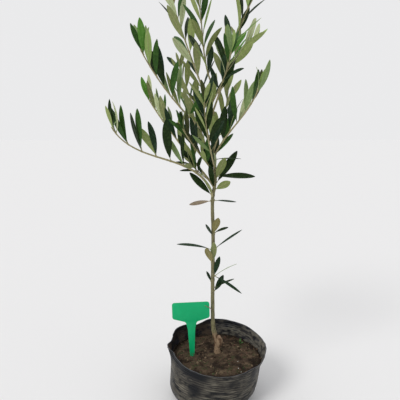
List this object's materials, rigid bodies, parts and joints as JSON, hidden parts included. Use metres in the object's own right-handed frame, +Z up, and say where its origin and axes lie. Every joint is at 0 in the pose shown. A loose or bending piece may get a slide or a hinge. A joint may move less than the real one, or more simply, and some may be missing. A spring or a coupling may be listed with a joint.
{
  "type": "potted young olive tree",
  "caption": "Young olive tree with a slender trunk, curved boughs and leafy sprays, growing in a soft crumpled nursery pot with a blank plant label.",
  "frame": {"origin": "on the pot's flat underside, below the middle of its soil", "axes": "+Z up along the trunk, the front as pictured faces -Y, +X to the right of that view"},
  "size_m": [0.2408, 0.2146, 0.6821],
  "materials": {
    "black_plastic": "soft black plastic film, ridged and dusty with dried soil",
    "soil": "dark brown crumbly soil, matt",
    "green_plastic": "emerald green plastic, satin, bare face",
    "bark": "thin olive-brown bark with pale specks, matt",
    "foliage": "leathery olive leaves, dark and satin above, pale grey-green and matt below"
  },
  "bodies": {
    "root": {"pot": "black_plastic", "soil": "soil", "label": "green_plastic", "trunk": "bark", "dry_twig": "bark", "low_left_bough": "bark", "mid_left_bough": "bark", "upper_left_bough": "bark", "tall_left_bough": "bark", "tall_middle_bough": "bark", "tall_right_bough": "bark", "mid_right_bough": "bark", "low_right_bough": "bark", "low_left_spray": "foliage", "mid_left_spray": "foliage", "upper_left_spray": "foliage", "tall_left_spray": "foliage", "tall_middle_spray": "foliage", "tall_right_spray": "foliage", "mid_right_spray": "foliage", "low_right_spray": "foliage", "front_spray": "foliage", "back_spray": "foliage", "back_left_spray": "foliage", "front_right_spray": "foliage", "inner_left_spray": "foliage", "inner_back_spray": "foliage", "fork_left_spray": "foliage", "stem_leaf_01": "foliage", "stem_leaf_02": "foliage", "stem_leaf_03": "foliage", "stem_leaf_04": "foliage", "stem_leaf_05": "foliage", "stem_leaf_06": "foliage", "stem_leaf_07": "foliage", "stem_leaf_08": "foliage", "stem_leaf_09": "foliage", "stem_leaf_10": "foliage", "stem_leaf_11": "foliage", "stem_leaf_12": "foliage", "stem_leaf_13": "foliage", "stem_leaf_14": "foliage", "stem_leaf_15": "foliage", "stem_leaf_16": "foliage", "stem_leaf_17": "foliage", "stem_leaf_18": "foliage", "stem_leaf_19": "foliage", "stem_leaf_20": "foliage", "stem_leaf_21": "foliage", "stem_leaf_22": "foliage", "stem_leaf_23": "foliage", "stem_leaf_24": "foliage", "stem_leaf_25": "foliage", "stem_leaf_26": "foliage", "stem_leaf_27": "foliage", "stem_leaf_28": "foliage", "stem_leaf_29": "foliage", "stem_leaf_30": "foliage", "stem_leaf_31": "foliage", "stem_leaf_32": "foliage"}
  },
  "joints": []
}
